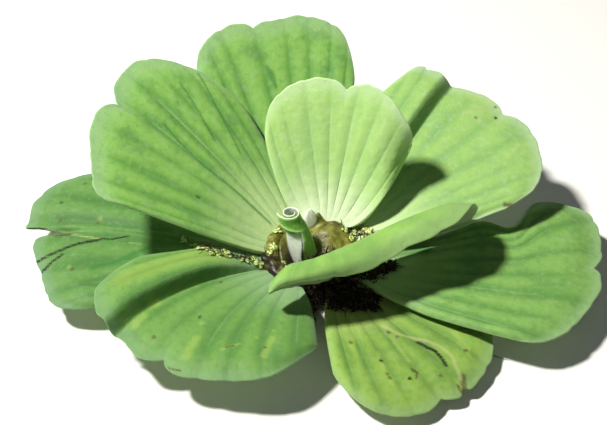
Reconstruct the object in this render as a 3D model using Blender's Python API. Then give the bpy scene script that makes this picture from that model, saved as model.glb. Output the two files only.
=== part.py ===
"""Water lettuce, as picked: a rosette of broad ribbed leaves round a short crown, on its roots.

Metres, +Z up. The origin is under the middle of the crown, on the surface it rests on. Azimuths are in
degrees, anticlockwise from +X as seen from above.
"""

from math import cos, pi, radians, sin

import bmesh
import bpy
import numpy as np

# Driving dimensions
GAP = 0.0003  # between two pieces that touch
CROWN_SIDES = 24
CROWN_PROFILE = [  # radius and height of the outline that is turned round the middle
    (0.0150, 0.0),
    (0.0205, 0.0050),
    (0.0235, 0.0120),
    (0.0235, 0.0190),
    (0.0215, 0.0225),
    (0.0170, 0.0225),
    (0.0110, 0.0190),
]
CROWN_DISH = 0.0180  # height of the middle of its top

LEAF_ROWS = 8  # of faces from the foot of a leaf to its rim
LEAF_SPREAD = radians(105)  # half the turn that the rim makes round the widest place
BLUNTNESS = 0.8  # of the tip: 1 is an ellipse, and less is squarer
FULLNESS = (0.75, 0.75)  # of the right and left halves, where a leaf gives none of its own
VEIN_ARC = 1.05  # over 1, so that the inner ribs run out from the foot and then curve apart
FOOT_RADIUS = 0.0215  # a leaf starts inside the crown, whose shape is then cut out of its foot
FOOT_WIDTH = 0.020
FOOT_THICKNESS = 0.0036
RIM_THICKNESS = 0.0011
RIB_HEIGHT = 0.0008
MIDRIB_STEPS = 60
MIDRIB_REACH = 1.2  # the midrib is read this much past the leaf's length, where the rim swells beyond it
MM = 0.001

# Colours, linear, and roughnesses
LEAF_GREEN = (0.22, 0.46, 0.09)
PALE_GREEN = (0.42, 0.62, 0.18)
OLIVE = (0.16, 0.13, 0.04)
SILVERY_WHITE = (0.75, 0.78, 0.60)
DARK_BROWN = (0.05, 0.04, 0.02)
RED = (1, 0, 0)
SATIN, DULL = 0.6, 0.8

# Every leaf is a fan of ribs. Lengths in metres unless said, slopes and turns in degrees, u from the foot of
# the blade (0) to its rim (1), and v from its right side (-1) to its left (1), looking outwards.
#   azimuth: the way it points; height: of its foot; length, width: along and across the flat blade
#   rise: slope of the midrib at its foot, on the way and at its tip; roll: of the blade about the midrib
#   sweep: how far the midrib curves round to the left; lopsided: how much wider the left half is
#   foot: how thick the foot is, where it is thinner than the others'
#   cup: how far each half turns up, at the foot and at the tip; widest: how far out the blade is widest
#   notch: depth, width and v of the rim's notch; fold: height of a step in the blade, its v and its softness
#   droop: how far the margin turns down, in mm
#   fullness: under 1 makes the right and left halves bulge soon after the foot
#   waists: places where one half is narrower, as -1 or 1 for its side, mm from the foot, spread and share
#   waves: places where the rim stands higher or lower, as v, width and mm
#   outline: places where the rim reaches further or less far, as v, width and mm
#   dents: places where the blade is raised or sunk, as u, v, size along u, size along v and mm
LEAVES = {
    "leaf_left": dict(
        azimuth=172, height=0.010, length=0.143, width=0.109, lopsided=0.07, ribs=9,
        rise=(13, 4, -6), roll=(-1, -3), cup=(12, 0), widest=0.66, notch=(0.032, 0.02, 0.01), droop=3,
        outline=(
            (-0.70, 0.30, 8), (-0.45, 0.15, 4), (-0.22, 0.22, 8), (-0.07, 0.04, 4), (0.35, 0.25, -7),
            (1.0, 0.25, 16),
        ),
        fold=(0.002, -0.01, 0.03), waves=((-0.08, 0.06, -6),),
    ),
    "leaf_front_right": dict(
        azimuth=306, height=0.010, length=0.098, width=0.090, ribs=9,
        rise=(4, 0, -6), cup=(15, 4), widest=0.62, notch=(0.004, 0.04, -0.10), droop=2,
        outline=((-0.12, 0.16, -3), (0.06, 0.025, -2.5), (0.20, 0.20, -2), (0.55, 0.30, -4.5)),
    ),
    "leaf_back": dict(
        azimuth=103, height=0.010, length=0.145, width=0.094, ribs=9,
        rise=(28, 33, 36), cup=(20, 4), widest=0.74, notch=(0.006, 0.10, 0.10), droop=1,
        outline=((-0.70, 0.20, 4), (-0.05, 0.15, -3.5)),
    ),
    "leaf_front_left": dict(
        azimuth=229, height=0.0158, length=0.106, width=0.112, ribs=10,
        rise=(14, 5, -5), cup=(15, 6), widest=0.56, lopsided=0.12, notch=(0.008, 0.04, 0.03), sweep=36,
        fullness=(1.10, 0.50), fold=(0.0095, -0.35, 0.14), droop=3,
        outline=(
            (-0.92, 0.26, 14), (-0.24, 0.14, -7), (-0.05, 0.10, -3), (0.30, 0.20, -1.5), (0.95, 0.17, -15),
        ),
        dents=((0.75, -1.05, 0.45, 0.22, -2),),
    ),
    "leaf_right": dict(
        azimuth=359, height=0.0142, length=0.134, width=0.113, ribs=9,
        rise=(5, 4, 1), cup=(15, 4), widest=0.70, lopsided=-0.05, notch=(0.006, 0.05, -0.05), sweep=16,
        fullness=(0.70, 1.50), waists=((1, 88, 13, 0.38),), droop=3,
        outline=((0.45, 0.30, 14), (0.95, 0.15, 7), (-0.50, 0.30, -13), (-0.76, 0.14, -5)),
    ),
    "leaf_left_back": dict(
        azimuth=151, height=0.018, length=0.130, width=0.115, ribs=10,
        rise=(38, 28, 22), roll=(-2, -4), cup=(20, 5), widest=0.66, lopsided=0.07, notch=(0.010, 0.05, 0.03),
        fullness=(0.68, 0.68), fold=(0.0022, 0.03, 0.03), droop=1.5,
        outline=((-0.38, 0.27, 10), (0.50, 0.26, -10), (1.0, 0.15, 12)),
    ),
    "leaf_front": dict(
        azimuth=291, height=0.0215, length=0.048, width=0.130, ribs=9, foot=0.0013,
        rise=(88, 88, -40), roll=(9, 12), cup=(0, -8), widest=0.44, lopsided=0.3, notch=(0.004, 0.10, 0.20),
        droop=3, waves=((0.10, 0.20, -4), (-0.5, 0.3, 2)),
        outline=((0.72, 0.18, -6), (-0.45, 0.40, 6)),
    ),
    "leaf_right_back": dict(
        azimuth=38, height=0.0186, length=0.127, width=0.112, ribs=10,
        rise=(22, 17, 12), cup=(2, 2), roll=(2, 5), widest=0.62, lopsided=0.06, notch=(0.006, 0.10, 0.0),
        fold=(0.009, 0.40, 0.10), droop=2,
        outline=((0.80, 0.25, 13), (0.35, 0.12, -4), (-0.93, 0.14, 13), (-0.40, 0.20, -2)),
        dents=((0.65, -1.0, 0.16, 0.12, -2),),
    ),
    "leaf_upright": dict(
        azimuth=77, height=0.0225, length=0.083, width=0.082, ribs=9,
        rise=(62, 65, 66), cup=(30, 10), widest=0.62, notch=(0.005, 0.10, 0.0), droop=0.6,
        fullness=(0.48, 0.45), outline=((-0.60, 0.20, -4), (-1.0, 0.15, 6), (1.0, 0.15, 2)),
        dents=((0.85, -0.95, 0.30, 0.32, -10),),
    ),
}

YOUNG_FOOT = (-0.0072, 0.0, 0.0150)  # middle of the rolled leaf at its foot, inside the crown
YOUNG_TOP = (-0.0165, 0.0040, 0.0460)  # and at its top
YOUNG_RADIUS = (0.0062, 0.0040)  # at the foot and at the top
YOUNG_START = (-95, -130)  # degrees: where its free margin is, at the foot and at the top
YOUNG_WRAP = (285, 540)  # degrees that it turns through, at the foot and at the top
YOUNG_SHRINK = (0.05, 0.72)  # how much smaller the inner end of the roll is
YOUNG_THICKNESS = 0.0007
YOUNG_ROWS, YOUNG_COLUMNS = 6, 20
SPATHE_AT = (-0.0055, 0.0180, 0.0195)
SPATHE_SIZE = (0.0042, 0.0026, 0.0175)  # half widths and height
SPATHE_SIDES, SPATHE_RINGS = 10, 7
SPATHE_LOW, SPATHE_BLUNT = 0.8, 0.7  # powers: how low its widest place is, and how blunt its ends are

ROOT_SIDES = 6
ROOT_RINGS = 7
ROOT_RADIUS = 0.0034  # with its side hairs
ROOT_START = 0.0190  # from the middle
ROOT_TAPER = 0.65  # how much thinner the tip is
ROOT_POINT = 0.2  # how far the tip reaches past the last ring, as a share of the distance between rings
ROOTS = [  # azimuth, length along the surface, and how far it swings to the left on the way, in degrees
    (8, 0.080, 20),
    (38, 0.095, -15),
    (66, 0.105, 18),
    (92, 0.090, -12),
    (118, 0.110, 15),
    (144, 0.095, -18),
    (170, 0.105, 12),
    (196, 0.090, -16),
    (221, 0.066, 14),
    (243, 0.046, 10),
    (262, 0.036, 6),
    (280, 0.040, -8),
    (304, 0.075, 12),
    (334, 0.090, -14),
]


def smooth(x):
    x = np.clip(x, 0, 1)
    return x * x * (3 - 2 * x)


def along(values, x):
    """A smooth change from the first value to the last, pulled towards the one between."""
    first, middle, last = values
    return first * (1 - x) ** 2 + 2 * middle * x * (1 - x) + last * x**2


def unit(vectors):
    return vectors / np.linalg.norm(vectors, axis=-1, keepdims=True)


def clear_scene():
    for obj in list(bpy.data.objects):
        bpy.data.objects.remove(obj)


def material(name, colour, roughness):
    made = bpy.data.materials.new(name)
    made.use_nodes = True
    shader = made.node_tree.nodes["Principled BSDF"]
    shader.inputs["Base Color"].default_value = (*colour, 1)
    shader.inputs["Roughness"].default_value = roughness
    shader.inputs["Metallic"].default_value = 0
    made.diffuse_color = (*colour, 1)
    return made


def closed_object(name, verts, faces, finish):
    mesh = bpy.data.meshes.new(name)
    bm = bmesh.new()
    points = [bm.verts.new(v) for v in verts]
    for face in faces:
        bm.faces.new([points[i] for i in face])
    bmesh.ops.recalc_face_normals(bm, faces=bm.faces)
    bm.to_mesh(mesh)
    bm.free()
    mesh.shade_smooth()
    mesh.materials.append(finish)
    obj = bpy.data.objects.new(name, mesh)
    bpy.context.scene.collection.objects.link(obj)
    return obj


def thick_sheet(name, middle, thickness, finish):
    """A closed solid round a sheet, which is a grid of points, half the thickness to each side of it."""
    rows, columns = middle.shape[:2]
    across_quads = np.cross(middle[1:, 1:] - middle[:-1, :-1], middle[:-1, 1:] - middle[1:, :-1])
    normal = np.zeros_like(middle)
    for corner in (normal[1:, 1:], normal[1:, :-1], normal[:-1, 1:], normal[:-1, :-1]):
        corner += across_quads
    normal = unit(normal)
    half = (thickness / 2)[..., None] * normal
    verts = [*(middle + half).reshape(-1, 3), *(middle - half).reshape(-1, 3)]
    under = rows * columns

    def place(row, column):
        return row * columns + column

    faces = []
    for i in range(rows - 1):
        for j in range(columns - 1):
            quad = [place(i, j), place(i + 1, j), place(i + 1, j + 1), place(i, j + 1)]
            faces.append(quad)
            faces.append([under + k for k in reversed(quad)])
    edge = [place(0, j) for j in range(columns)]
    edge += [place(i, columns - 1) for i in range(1, rows)]
    edge += [place(rows - 1, j) for j in range(columns - 2, -1, -1)]
    edge += [place(i, 0) for i in range(rows - 2, 0, -1)]
    for a, b in zip(edge, edge[1:] + edge[:1]):
        faces.append([a, b, under + b, under + a])
    return closed_object(name, verts, faces, finish)


def midrib(leaf):
    """How far along the midrib each step is, where it is, and the directions across and out of the blade."""
    distance = np.linspace(0, MIDRIB_REACH * leaf["length"], MIDRIB_STEPS + 1)
    x = distance / leaf["length"]
    slope = np.radians(along(leaf["rise"], x))[:, None]
    azimuth = np.radians(leaf["azimuth"] + leaf.get("sweep", 0) * (x - 0.5))
    level = 0 * x
    outwards = np.stack([np.cos(azimuth), np.sin(azimuth), level], axis=-1)
    across = np.stack([-np.sin(azimuth), np.cos(azimuth), level], axis=-1)
    forward = np.cos(slope) * outwards + np.sin(slope) * [0, 0, 1]
    up = np.cross(forward, across)
    first, last = leaf.get("roll", (0, 0))
    roll = np.radians(first + (last - first) * x)[:, None]
    across, up = across * np.cos(roll) + up * np.sin(roll), up * np.cos(roll) - across * np.sin(roll)
    steps = (forward[1:] + forward[:-1]) / 2 * distance[1]
    foot = FOOT_RADIUS * outwards[0] + [0, 0, leaf["height"]]
    places = foot + np.concatenate([np.zeros((1, 3)), np.cumsum(steps, axis=0)])
    return distance, places, across, up


def flat_blade(leaf, u, v):
    """Along and across the flat blade, at u from its foot to its rim and v from its right side to its left."""
    depth, width, place = leaf["notch"]
    turn = LEAF_SPREAD * v
    tip = np.sign(np.cos(turn)) * np.abs(np.cos(turn)) ** BLUNTNESS
    rim = leaf["length"] * (leaf["widest"] + (1 - leaf["widest"]) * tip)
    rim = rim - depth * np.exp(-np.abs(v - place) / width)
    for at, spread, reach in leaf.get("outline", ()):
        rim = rim + reach * MM * np.exp(-(((v - at) / spread) ** 2))
    side = leaf["width"] / 2 * np.sin(turn) * (1 + leaf.get("lopsided", 0) * np.sign(v))
    foot = FOOT_WIDTH / 2 * v
    right, left = leaf.get("fullness", FULLNESS)
    fullness = VEIN_ARC + (np.where(v > 0, left, right) - VEIN_ARC) * np.abs(v) ** 1.5
    s, t = rim * u, foot + (side - foot) * u**fullness
    for sign, at, spread, share in leaf.get("waists", ()):
        t = t * (1 - (t * sign > 0) * share * np.exp(-(((s / MM - at) / spread) ** 2)))
    return s, t


def blade(leaf, rows, columns):
    """The middle surface of a leaf, as a grid of points."""
    u, v = np.meshgrid(np.linspace(0, 1, rows + 1), np.linspace(-1, 1, columns + 1), indexing="ij")
    s, t = flat_blade(leaf, u, v)
    at_foot, at_tip = leaf["cup"]
    bend = np.radians(at_foot + (at_tip - at_foot) * u) / (leaf["width"] / 2)
    # sin(bend t) / bend and (1 - cos(bend t)) / bend, which also hold where there is no bend
    sideways = t * np.sinc(bend * t / pi)
    lift = bend * t**2 / 2 * np.sinc(bend * t / (2 * pi)) ** 2
    if "fold" in leaf:
        height, place, softness = leaf["fold"]
        lift = lift + height * smooth(np.sign(place) * (v - place) / softness + 0.5) * smooth(2 * u)
    for at_u, at_v, size_u, size_v, height in leaf.get("dents", ()):
        lift = lift + height * MM * np.exp(-(((u - at_u) / size_u) ** 2) - ((v - at_v) / size_v) ** 2)
    edge = np.maximum(smooth((u - 0.80) / 0.20), smooth((np.abs(v) - 0.80) / 0.20) * smooth(2 * u)) ** 2
    lift = lift - leaf["droop"] * MM * edge
    ribs = np.where(np.arange(columns + 1) % 2 == 0, -1, 1)
    lift = lift + RIB_HEIGHT / 2 * ribs * smooth(3 * u)
    distance, places, across, up = midrib(leaf)

    def read(values):
        return np.stack([np.interp(s, distance, values[:, k]) for k in range(3)], axis=-1)

    points = read(places) + sideways[..., None] * read(across) + lift[..., None] * read(up)
    for at, spread, height in leaf.get("waves", ()):
        points[..., 2] += height * MM * np.exp(-(((v - at) / spread) ** 2)) * u**2
    return points


def leaf_solid(name, leaf, finish):
    columns = 2 * leaf["ribs"]
    middle = blade(leaf, LEAF_ROWS, columns)
    u = np.linspace(0, 1, LEAF_ROWS + 1)[:, None] * np.ones((1, columns + 1))
    thickness = RIM_THICKNESS + (leaf.get("foot", FOOT_THICKNESS) - RIM_THICKNESS) * (1 - u) ** 2
    return thick_sheet(name, middle, thickness, finish)


def turned(name, profile, dish, finish):
    """A crown turned round Z from its profile, with a flat underside and a dished top."""
    count = len(profile)
    verts = [(0, 0, profile[0][1])]
    for k in range(CROWN_SIDES):
        angle = 2 * pi * k / CROWN_SIDES
        verts += [(r * cos(angle), r * sin(angle), z) for r, z in profile]
    verts.append((0, 0, dish))
    top = len(verts) - 1
    faces = []
    for k in range(CROWN_SIDES):
        this = 1 + k * count
        after = 1 + (k + 1) % CROWN_SIDES * count
        faces.append([0, after, this])
        faces.append([this + count - 1, after + count - 1, top])
        for i in range(count - 1):
            faces.append([this + i, after + i, after + i + 1, this + i + 1])
    return closed_object(name, verts, faces, finish)


def crown_clearance():
    """The crown grown by the gap all round. It is cut out of everything that grows from the crown."""
    grown = [(r + GAP, z) for r, z in CROWN_PROFILE]
    grown[0] = (grown[0][0], -GAP)
    grown[-3:] = [(r, z + GAP) for r, z in grown[-3:]]
    cutter = turned("crown_clearance", grown, CROWN_DISH + GAP, material("cutter", RED, DULL))
    cutter.hide_render = True
    cutter.display_type = "WIRE"
    return cutter


def fit_to(obj, cutter):
    cut = obj.modifiers.new("fit to crown", "BOOLEAN")
    cut.operation = "DIFFERENCE"
    cut.solver = "EXACT"
    cut.object = cutter


def young_leaf(finish):
    """A young leaf, rolled up: one sheet, open in front at the foot and wound into a scroll at the top."""
    u, w = np.meshgrid(np.linspace(0, 1, YOUNG_ROWS + 1), np.linspace(0, 1, YOUNG_COLUMNS + 1), indexing="ij")

    def between(values, share):
        return values[0] + (values[1] - values[0]) * share

    furl = u**2  # most of the winding is near the top
    angle = np.radians(between(YOUNG_START, furl) + between(YOUNG_WRAP, furl) * w)
    radius = between(YOUNG_RADIUS, u) * (1 - between(YOUNG_SHRINK, furl) * w)
    middle = np.array(YOUNG_FOOT) + u[..., None] * (np.array(YOUNG_TOP) - YOUNG_FOOT)
    place = middle + np.stack([radius * np.cos(angle), radius * np.sin(angle), 0 * u], axis=-1)
    return thick_sheet("leaf_young", place, YOUNG_THICKNESS * np.ones_like(u), finish)


def spathe(finish):
    """A small sheath, pointed at the top, that stands at the foot of the upright leaf."""
    half_x, half_y, height = SPATHE_SIZE
    verts = [(0, 0, 0)]
    for i in range(1, SPATHE_RINGS):
        level = i / SPATHE_RINGS
        size = sin(pi * level**SPATHE_LOW) ** SPATHE_BLUNT
        for k in range(SPATHE_SIDES):
            angle = 2 * pi * k / SPATHE_SIDES
            verts.append((half_x * size * cos(angle), half_y * size * sin(angle), height * level))
    verts.append((0, 0, height))
    faces = ring_faces(SPATHE_SIDES, SPATHE_RINGS - 1)
    verts = [tuple(a + b for a, b in zip(v, SPATHE_AT)) for v in verts]
    return closed_object("spathe", verts, faces, finish)


def ring_faces(sides, rings):
    """Faces of a closed shape whose points are one end, rings of points in turn, and the other end."""
    last = 1 + sides * rings
    faces = []
    for k in range(sides):
        after = (k + 1) % sides
        faces.append([0, 1 + after, 1 + k])
        faces.append([last, last - sides + k, last - sides + after])
        for i in range(rings - 1):
            a = 1 + i * sides
            faces.append([a + k, a + after, a + sides + after, a + sides + k])
    return faces


def root(name, azimuth, length, swing, finish):
    """A root that lies on the surface, out from under the crown, thinner to its tip."""
    x = np.linspace(0, 1, ROOT_RINGS)
    heading = np.radians(azimuth + swing * np.sin(pi * x))
    radius = ROOT_RADIUS * (1 - ROOT_TAPER * x**2)
    step = length / (ROOT_RINGS - 1)
    start = ROOT_START * np.array([cos(radians(azimuth)), sin(radians(azimuth))])
    way = np.stack([np.cos(heading), np.sin(heading)], axis=-1) * step
    middle = start + np.concatenate([np.zeros((1, 2)), np.cumsum(way[:-1], axis=0)])
    verts = [(*middle[0], radius[0])]
    for i in range(ROOT_RINGS):
        side = np.array([-sin(heading[i]), cos(heading[i])])
        for k in range(ROOT_SIDES):
            angle = 2 * pi * k / ROOT_SIDES
            across = middle[i] + side * radius[i] * sin(angle)
            verts.append((*across, radius[i] * (1 - cos(angle))))
    verts.append((*(middle[-1] + way[-1] * ROOT_POINT), radius[-1]))
    return closed_object(name, verts, ring_faces(ROOT_SIDES, ROOT_RINGS), finish)


def main():
    clear_scene()
    leaf_green = material("leaf", LEAF_GREEN, SATIN)
    pale_green = material("young leaf", PALE_GREEN, SATIN)
    olive = material("crown", OLIVE, SATIN)
    white = material("spathe", SILVERY_WHITE, DULL)
    dark = material("root", DARK_BROWN, DULL)
    turned("crown", CROWN_PROFILE, CROWN_DISH, olive)
    grown = []
    for name, leaf in LEAVES.items():
        grown.append(leaf_solid(name, leaf, pale_green if name == "leaf_upright" else leaf_green))
    grown.append(young_leaf(pale_green))
    grown.append(spathe(white))
    for i, (azimuth, length, swing) in enumerate(ROOTS, 1):
        grown.append(root(f"root_{i:02d}", azimuth, length, swing, dark))
    cutter = crown_clearance()
    for obj in grown:
        fit_to(obj, cutter)


main()
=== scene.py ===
# %% [markdown]
# # A water lettuce, as picked
# A water lettuce grows afloat, as an open rosette: broad, soft, ribbed leaves stand round a short, thick crown,
# and feathery roots hang under it. Here it has been picked and rests on a table.
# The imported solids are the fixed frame, and each piece below takes the place of the solid that it details.

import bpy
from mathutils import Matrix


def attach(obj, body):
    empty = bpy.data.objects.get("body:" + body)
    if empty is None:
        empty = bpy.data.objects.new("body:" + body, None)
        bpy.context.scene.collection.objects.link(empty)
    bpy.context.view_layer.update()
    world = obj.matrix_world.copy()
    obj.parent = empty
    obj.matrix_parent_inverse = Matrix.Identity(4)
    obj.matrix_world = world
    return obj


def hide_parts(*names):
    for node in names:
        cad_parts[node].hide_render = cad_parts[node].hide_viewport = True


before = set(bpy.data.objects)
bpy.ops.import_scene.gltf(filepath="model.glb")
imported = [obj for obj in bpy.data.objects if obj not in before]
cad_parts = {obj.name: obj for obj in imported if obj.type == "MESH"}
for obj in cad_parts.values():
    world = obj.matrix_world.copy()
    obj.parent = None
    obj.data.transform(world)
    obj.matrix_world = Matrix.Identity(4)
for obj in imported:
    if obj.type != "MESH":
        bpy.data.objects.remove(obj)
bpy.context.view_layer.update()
print("packed nodes:", len(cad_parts))

# %% Modules and the scene's collection
from math import cos, pi, radians, sin

import bmesh
import bpy
import numpy as np
from mathutils import Vector, noise
from mathutils.bvhtree import BVHTree

scene = bpy.context.scene
MM = 0.001


def new_object(name, data):
    made = bpy.data.objects.new(name, data)
    scene.collection.objects.link(made)
    return made


# %% [markdown]
# ## The camera first
# Everything is judged from one place, so the camera comes before any piece. The rosette is seen from the
# front and from about 40 degrees above the table, through a lens long enough to keep the far leaves large.

# %% The camera
CAMERA_AT = (-0.0091, -0.5230, 0.4878)
CAMERA_TILT = 50  # degrees up from straight down, so it looks down at 40
LENS, SENSOR = 75.4, 36  # mm

camera = new_object("camera", bpy.data.cameras.new("camera"))
camera.location = CAMERA_AT
camera.rotation_euler = (radians(CAMERA_TILT), 0, 0)
camera.data.lens, camera.data.sensor_width = LENS, SENSOR
camera.data.clip_start = 0.01
scene.camera = camera
print("camera looks down at", 90 - CAMERA_TILT, "degrees")

# %% [markdown]
# ## Light and table
# The soft studio light keeps one clear direction, from behind and to the left, because it rakes across the
# ribs and shines through the thin upright leaf. A wide fill and a pale surround keep the shade open.

# %% Light
def area_light(name, azimuth, elevation, distance, size, watts, colour):
    lamp = bpy.data.lights.new(name, "AREA")
    lamp.shape = "DISK"
    lamp.size, lamp.energy, lamp.color = size, watts, colour
    obj = new_object(name, lamp)
    level = distance * cos(radians(elevation))
    obj.location = (level * cos(radians(azimuth)), level * sin(radians(azimuth)), distance * sin(radians(elevation)))
    obj.rotation_euler = obj.location.to_track_quat("Z", "Y").to_euler()


area_light("key", azimuth=182, elevation=60, distance=1.5, size=0.18, watts=36, colour=(1, 0.97, 0.90))
area_light("fill", azimuth=-70, elevation=60, distance=1.6, size=1.6, watts=0.5, colour=(0.93, 0.97, 1))

surround = bpy.data.worlds.new("surround")
surround.use_nodes = True
background = surround.node_tree.nodes["Background"].inputs
background["Color"].default_value = (0.92, 0.96, 1, 1)
background["Strength"].default_value = 0.08
scene.world = surround
scene.view_settings.view_transform = "Standard"

# %% [markdown]
# ## Helpers for every material
# Colours are picked as the hex values that a screen shows, and the renderer works with linear light, so one
# function turns the first into the second. Another adds a node with its settings and links, and gives its
# outputs, so that a finish reads as a short list of steps.

# %% Colour and node helpers
def linear(hex_colour):
    parts = [int(hex_colour[i:i + 2], 16) / 255 for i in (1, 3, 5)]
    return [p / 12.92 if p <= 0.04045 else ((p + 0.055) / 1.055) ** 2.4 for p in parts] + [1]


def put(tree, sockets, values):
    """Sets sockets to values, or links them to the sockets that feed them."""
    for name, value in values.items():
        if isinstance(value, bpy.types.NodeSocket):
            tree.links.new(value, sockets[name])
        else:
            sockets[name].default_value = value


def add(tree, kind, inputs=None, ramp=(), **settings):
    """The outputs of a new node; "Math" is short for ShaderNodeMath, and a ramp is rows of place and colour."""
    made = tree.nodes.new(kind if "Node" in kind else f"ShaderNode{kind}")
    for name, value in settings.items():
        setattr(made, name, value)
    for place, _ in ramp[1:-1]:
        made.color_ramp.elements.new(place)
    for k, (place, colour) in enumerate(ramp):
        made.color_ramp.elements[k].position = place
        made.color_ramp.elements[k].color = linear(colour)
    put(tree, made.inputs, inputs or {})
    return made.outputs


def new_material(name, settings):
    """A material, its tree and its shader's sockets, with what is the same all over the surface already set."""
    made = bpy.data.materials.new(name)
    made.use_nodes = True
    shader = made.node_tree.nodes["Principled BSDF"].inputs
    put(made.node_tree, shader, settings)
    return made, made.node_tree, shader


# %% Table
# painted board: it spreads light evenly, so the eye sees one white without a shine
table_paint, _, _ = new_material("matt white board", {"Base Color": linear("#F4F4F2"), "Roughness": 0.8})

bpy.ops.mesh.primitive_plane_add(size=8, location=(0, 0, 0))
table = bpy.context.object
table.name = "table"
table.data.materials.append(table_paint)
print("table at z = 0")

# %% [markdown]
# ## The leaf as a fan of ribs
# A leaf of this plant is a soft wedge. Veins fan out from a narrow foot, each one sunk in a groove on the upper
# side, and the spongy tissue swells between them like the cells of an air mattress.
# The nine open leaves could be sculpted one by one. But all follow one plan, so one function makes any of them
# from a row of measures: u runs from the foot to the rim and v from the right side to the left. The flat
# outline is bent along a midrib, cupped, folded and then pushed in along each groove.

# %% Sizes that all leaves share
LEAF_SPREAD = radians(105)  # half the turn that the rim makes round the widest place
BLUNTNESS = 0.8  # under 1, so that the tip is blunt
FULLNESS = (0.75, 0.75)  # of the right and left halves: under 1, so that the sides bulge out soon after the foot
VEIN_ARC = 1.05  # over 1, so that the inner veins run out from the foot and then curve apart
FOOT_RADIUS = 0.0215  # from the middle of the crown
FOOT_WIDTH = 0.020
FOOT_THICKNESS = 0.0036
RIM_THICKNESS = 0.0011
MARGIN_ROUNDING = 0.0010  # over this width the blade thins to a rounded edge
SCALLOP = 0.0007  # how far the rim swells between two grooves
RAGGED = 0.0004  # how far wear and uneven growth move the rim
GROOVE_REACH = 0.30  # how far a groove draws the blade in, as a share of the space between two
GROOVE_FADE = 0.6  # how much of a groove is lost at the rim
VEIN_RELIEF = 0.0008  # how far a vein stands out under the blade, near the foot
LEAF_ROWS = 84
COLUMNS_PER_RIB = 14
MIDRIB_STEPS = 60
MIDRIB_REACH = 1.2  # the midrib is read this much past the leaf's length, where the rim swells beyond it

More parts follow.
